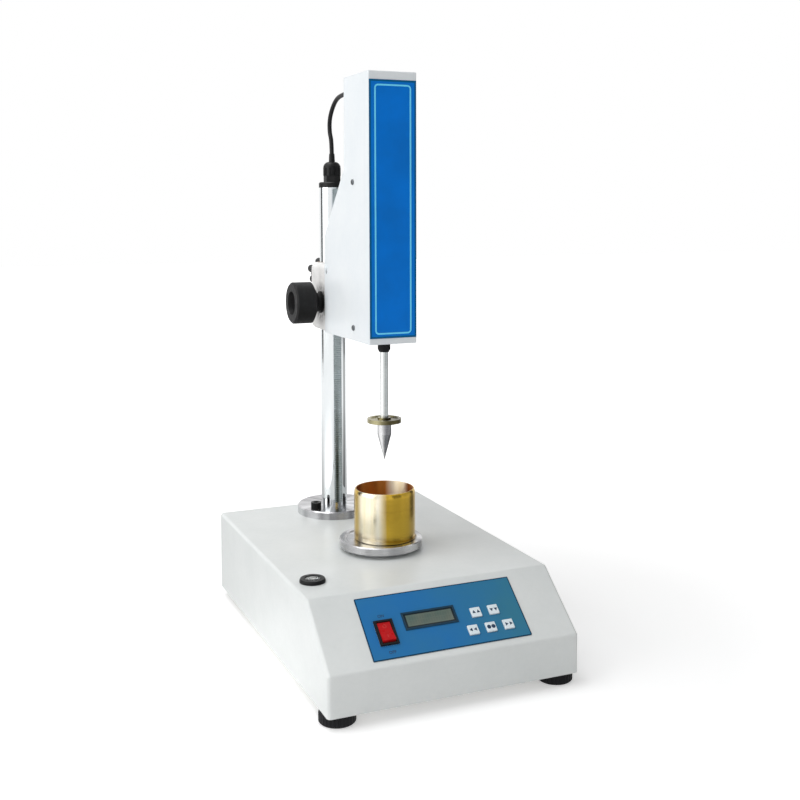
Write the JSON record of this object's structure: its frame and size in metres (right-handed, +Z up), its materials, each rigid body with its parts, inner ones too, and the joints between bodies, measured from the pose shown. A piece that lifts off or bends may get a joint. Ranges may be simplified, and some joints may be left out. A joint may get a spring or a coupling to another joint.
{
  "type": "liquid limit device",
  "caption": "Digital cone penetrometer for soil: sloping base with panel, chromed column, geared head with a falling cone over a brass cup.",
  "frame": {"origin": "on the bench under the middle of the base", "axes": "+X to the operator's right, -Y towards the operator, +Z up"},
  "size_m": [0.2162, 0.3192, 0.4961],
  "materials": {
    "casing_paint": "white powder coat, fine grain, satin",
    "zinc_steel": "zinc-plated sheet steel",
    "black_plastic": "black moulded nylon",
    "black_rubber_plastic": "black moulded plastic, knurled",
    "clear_glass": "clear",
    "panel_film": "blue printed polyester film",
    "label_film": "deep blue printed film",
    "display_frame": "dark frame",
    "circuit_board": "glass-fibre board with solder mask",
    "transformer_steel": "varnished laminations",
    "turned_steel": "turned, bright",
    "black_steel": "black oxide, oiled",
    "chrome_tube": "polished hard chrome",
    "rack_steel": "milled steel",
    "cable_sheath": "black sheath",
    "red_plastic": "red translucent moulding",
    "white_plastic": "white moulding",
    "cup_brass": "turned brass",
    "disc_brass": "turned brass, aged",
    "carriage_paint": "sprayed casting",
    "bush_bronze": "sintered bronze",
    "guide_aluminium": "machined",
    "magnet_steel": "machined iron",
    "rod_steel": "ground and polished",
    "cone_steel": "ground stainless steel"
  },
  "bodies": {
    "base": {"base_casing": "casing_paint", "base_plate": "zinc_steel", "base_plate_screws": "zinc_steel", "foot_nuts": "zinc_steel", "column_backing_plate": "zinc_steel", "stage_nut": "zinc_steel", "flange_screws": "black_steel", "bubble_level_ring": "black_plastic", "power_switch_housing": "black_plastic", "mains_inlet": "black_plastic", "column_cap": "black_plastic", "cable_gland_body": "black_plastic", "cable_gland_nut": "black_plastic", "bubble_level_vial": "clear_glass", "display_glass": "clear_glass", "control_panel": "panel_film", "display_bezel": "display_frame", "panel_board": "circuit_board", "main_board": "circuit_board", "transformer": "transformer_steel", "cup_stage": "turned_steel", "column_flange": "turned_steel", "column_tube": "chrome_tube", "column_rack": "rack_steel", "head_cable": "cable_sheath"},
    "head": {"carriage_block": "carriage_paint", "carriage_bushes": "bush_bronze", "knob_collar": "black_plastic", "pinion_cap": "black_plastic", "cable_grommet": "black_plastic", "spindle_bush": "black_plastic", "displacement_sensor": "black_plastic", "head_housing": "casing_paint", "head_back_cover": "casing_paint", "head_bottom_plate": "zinc_steel", "head_side_screws": "zinc_steel", "head_frame": "zinc_steel", "head_label": "label_film", "spindle_guide": "guide_aluminium", "electromagnet": "magnet_steel", "head_board": "circuit_board"},
    "spindle": {"spindle_rod": "rod_steel", "stop_collar": "guide_aluminium", "sensor_scale": "clear_glass", "armature": "magnet_steel", "balance_disc": "disc_brass", "cone": "cone_steel"},
    "lift_pinion": {"pinion_shaft": "rack_steel", "lift_knob": "black_plastic"},
    "lock": {"lock_knob": "black_plastic"},
    "sample_cup": {"sample_cup": "cup_brass"},
    "power_rocker": {"power_switch_rocker": "red_plastic"},
    "key_1": {"key_1": "white_plastic"},
    "key_2": {"key_2": "white_plastic"},
    "key_3": {"key_3": "white_plastic"},
    "key_4": {"key_4": "white_plastic"},
    "key_5": {"key_5": "white_plastic"},
    "foot_front_left": {"levelling_foot_front_left": "black_rubber_plastic"},
    "foot_front_right": {"levelling_foot_front_right": "black_rubber_plastic"},
    "foot_rear": {"levelling_foot_rear": "black_rubber_plastic"}
  },
  "joints": [
    {"name": "head_lift", "type": "slide", "parent": "base", "child": "head", "axis": [0, 0, 1], "range_m": [-0.045, 0.06], "deforming": ["head_cable"]},
    {"name": "lift_knob_turn", "type": "hinge", "parent": "head", "child": "lift_pinion", "pos_m": [0, 0.0981, 0.2928], "axis": [1, 0, 0], "range_deg": [-290, 218]},
    {"name": "lock_knob_turn", "type": "hinge", "parent": "head", "child": "lock", "pos_m": [0, 0.1221, 0.3183], "axis": [0, 1, 0], "range_deg": [-100, 360]},
    {"name": "spindle_slide", "type": "slide", "parent": "head", "child": "spindle", "axis": [0, 0, 1], "range_m": [0, 0.03]},
    {"name": "cup_lift", "type": "slide", "parent": "base", "child": "sample_cup", "axis": [0, 0, 1], "range_m": [0, 0.018]},
    {"name": "power_rocker_tilt", "type": "hinge", "parent": "base", "child": "power_rocker", "pos_m": [-0.0516, -0.13705, 0.05711], "axis": [1, 0, 0], "range_deg": [0, 16]},
    {"name": "key_1_press", "type": "slide", "parent": "base", "child": "key_1", "axis": [0, 0.6309, -0.7758], "range_m": [0, 0.0006], "stiffness_N_per_m": 2000, "springref_m": -0.0002},
    {"name": "key_2_press", "type": "slide", "parent": "base", "child": "key_2", "axis": [0, 0.6309, -0.7758], "range_m": [0, 0.0006], "stiffness_N_per_m": 2000, "springref_m": -0.0002},
    {"name": "key_3_press", "type": "slide", "parent": "base", "child": "key_3", "axis": [0, 0.6309, -0.7758], "range_m": [0, 0.0006], "stiffness_N_per_m": 2000, "springref_m": -0.0002},
    {"name": "key_4_press", "type": "slide", "parent": "base", "child": "key_4", "axis": [0, 0.6309, -0.7758], "range_m": [0, 0.0006], "stiffness_N_per_m": 2000, "springref_m": -0.0002},
    {"name": "key_5_press", "type": "slide", "parent": "base", "child": "key_5", "axis": [0, 0.6309, -0.7758], "range_m": [0, 0.0006], "stiffness_N_per_m": 2000, "springref_m": -0.0002},
    {"name": "foot_front_left_turn", "type": "hinge", "parent": "base", "child": "foot_front_left", "pos_m": [-0.0938, -0.1443, 0], "axis": [0, 0, 1], "range_deg": [-90, 720]},
    {"name": "foot_front_right_turn", "type": "hinge", "parent": "base", "child": "foot_front_right", "pos_m": [0.0938, -0.1443, 0], "axis": [0, 0, 1], "range_deg": [-90, 720]},
    {"name": "foot_rear_turn", "type": "hinge", "parent": "base", "child": "foot_rear", "pos_m": [0, 0.1443, 0], "axis": [0, 0, 1], "range_deg": [-90, 720]}
  ],
  "couplings": [
    {"joint": "lift_knob_turn", "follows": "head_lift", "rad_per_m": -83.333}
  ]
}
